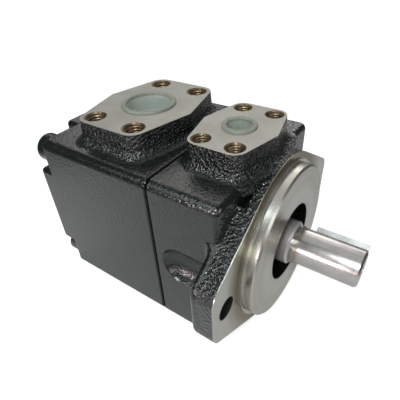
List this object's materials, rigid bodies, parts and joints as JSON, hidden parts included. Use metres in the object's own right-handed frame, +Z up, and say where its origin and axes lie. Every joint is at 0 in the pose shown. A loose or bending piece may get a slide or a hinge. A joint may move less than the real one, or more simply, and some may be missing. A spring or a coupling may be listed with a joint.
{
  "type": "hydraulic vane pump",
  "caption": "Fixed-displacement vane pump: two-bolt pilot flange, keyed shaft, square cast body and bolted rear cover with two flanged ports on top.",
  "frame": {"origin": "on the shaft axis, in the plane of the mounting-flange face", "axes": "+X along the shaft towards its driven end, +Z up through the port pads, +Y completes the right hand"},
  "size_m": [0.1731, 0.128, 0.1056],
  "materials": {
    "black_cast_paint": "glossy black paint over rough cast iron",
    "zinc_steel": "bright zinc-plated steel",
    "ground_steel": "ground and polished steel",
    "black_steel": "painted over black oxide",
    "rubber": "nitrile rubber",
    "bearing_steel": "bearing steel",
    "sintered": "ground iron",
    "bronze": "lead bronze",
    "plug_plastic": "pale grey polyethylene"
  },
  "bodies": {
    "pump_body": {"housing": "black_cast_paint", "rear_cover": "black_cast_paint", "cover_bolts": "black_steel", "cover_seal_ring": "rubber", "shaft_seal": "rubber", "seal_garter_spring": "zinc_steel", "bearing_outer_race": "bearing_steel", "housing_retaining_ring": "black_steel", "front_side_plate": "bronze", "side_plate_seal_ring": "rubber", "cam_ring": "sintered", "rear_side_plate": "bronze", "dowel_pins": "bearing_steel", "cartridge_screws": "black_steel", "rear_bush": "bronze"},
    "shaft_set": {"shaft": "ground_steel", "shaft_key": "zinc_steel", "bearing_inner_race": "bearing_steel", "shaft_retaining_ring": "black_steel", "rotor": "sintered"},
    "ball_set": {"bearing_balls": "bearing_steel", "bearing_cage": "zinc_steel"},
    "vane_01_body": {"vane_01": "bearing_steel"},
    "vane_02_body": {"vane_02": "bearing_steel"},
    "vane_03_body": {"vane_03": "bearing_steel"},
    "vane_04_body": {"vane_04": "bearing_steel"},
    "vane_05_body": {"vane_05": "bearing_steel"},
    "vane_06_body": {"vane_06": "bearing_steel"},
    "vane_07_body": {"vane_07": "bearing_steel"},
    "vane_08_body": {"vane_08": "bearing_steel"},
    "vane_09_body": {"vane_09": "bearing_steel"},
    "vane_10_body": {"vane_10": "bearing_steel"},
    "vane_11_body": {"vane_11": "bearing_steel"},
    "vane_12_body": {"vane_12": "bearing_steel"},
    "suction_plug": {"suction_port_plug": "plug_plastic"},
    "delivery_plug": {"delivery_port_plug": "plug_plastic"}
  },
  "joints": [
    {"name": "shaft_spin", "type": "hinge", "parent": "pump_body", "child": "shaft_set", "pos_m": [0, 0, 0], "axis": [1, 0, 0], "continuous": true},
    {"name": "ball_set_spin", "type": "hinge", "parent": "pump_body", "child": "ball_set", "pos_m": [-0.019, 0, 0], "axis": [1, 0, 0], "continuous": true},
    {"name": "vane_01_slide", "type": "slide", "parent": "shaft_set", "child": "vane_01_body", "axis": [0, 0.9659, 0.2588], "range_m": [0, 0.00062]},
    {"name": "vane_02_slide", "type": "slide", "parent": "shaft_set", "child": "vane_02_body", "axis": [0, 0.7071, 0.7071], "range_m": [0, 0.00183]},
    {"name": "vane_03_slide", "type": "slide", "parent": "shaft_set", "child": "vane_03_body", "axis": [0, 0.2588, 0.9659], "range_m": [0, 0.00304]},
    {"name": "vane_04_slide", "type": "slide", "parent": "shaft_set", "child": "vane_04_body", "axis": [0, -0.2588, 0.9659], "range_m": [0, 0.00304]},
    {"name": "vane_05_slide", "type": "slide", "parent": "shaft_set", "child": "vane_05_body", "axis": [0, -0.7071, 0.7071], "range_m": [0, 0.00183]},
    {"name": "vane_06_slide", "type": "slide", "parent": "shaft_set", "child": "vane_06_body", "axis": [0, -0.9659, 0.2588], "range_m": [0, 0.00062]},
    {"name": "vane_07_slide", "type": "slide", "parent": "shaft_set", "child": "vane_07_body", "axis": [0, -0.9659, -0.2588], "range_m": [0, 0.00062]},
    {"name": "vane_08_slide", "type": "slide", "parent": "shaft_set", "child": "vane_08_body", "axis": [0, -0.7071, -0.7071], "range_m": [0, 0.00183]},
    {"name": "vane_09_slide", "type": "slide", "parent": "shaft_set", "child": "vane_09_body", "axis": [0, -0.2588, -0.9659], "range_m": [0, 0.00304]},
    {"name": "vane_10_slide", "type": "slide", "parent": "shaft_set", "child": "vane_10_body", "axis": [0, 0.2588, -0.9659], "range_m": [0, 0.00304]},
    {"name": "vane_11_slide", "type": "slide", "parent": "shaft_set", "child": "vane_11_body", "axis": [0, 0.7071, -0.7071], "range_m": [0, 0.00183]},
    {"name": "vane_12_slide", "type": "slide", "parent": "shaft_set", "child": "vane_12_body", "axis": [0, 0.9659, -0.2588], "range_m": [0, 0.00062]},
    {"name": "suction_plug_lift", "type": "slide", "parent": "pump_body", "child": "suction_plug", "axis": [0, 0, 1], "range_m": [0, 0.02]},
    {"name": "delivery_plug_lift", "type": "slide", "parent": "pump_body", "child": "delivery_plug", "axis": [0, 0, 1], "range_m": [0, 0.02]}
  ],
  "couplings": [
    {"joint": "ball_set_spin", "follows": "shaft_spin", "ratio": 0.3815}
  ]
}
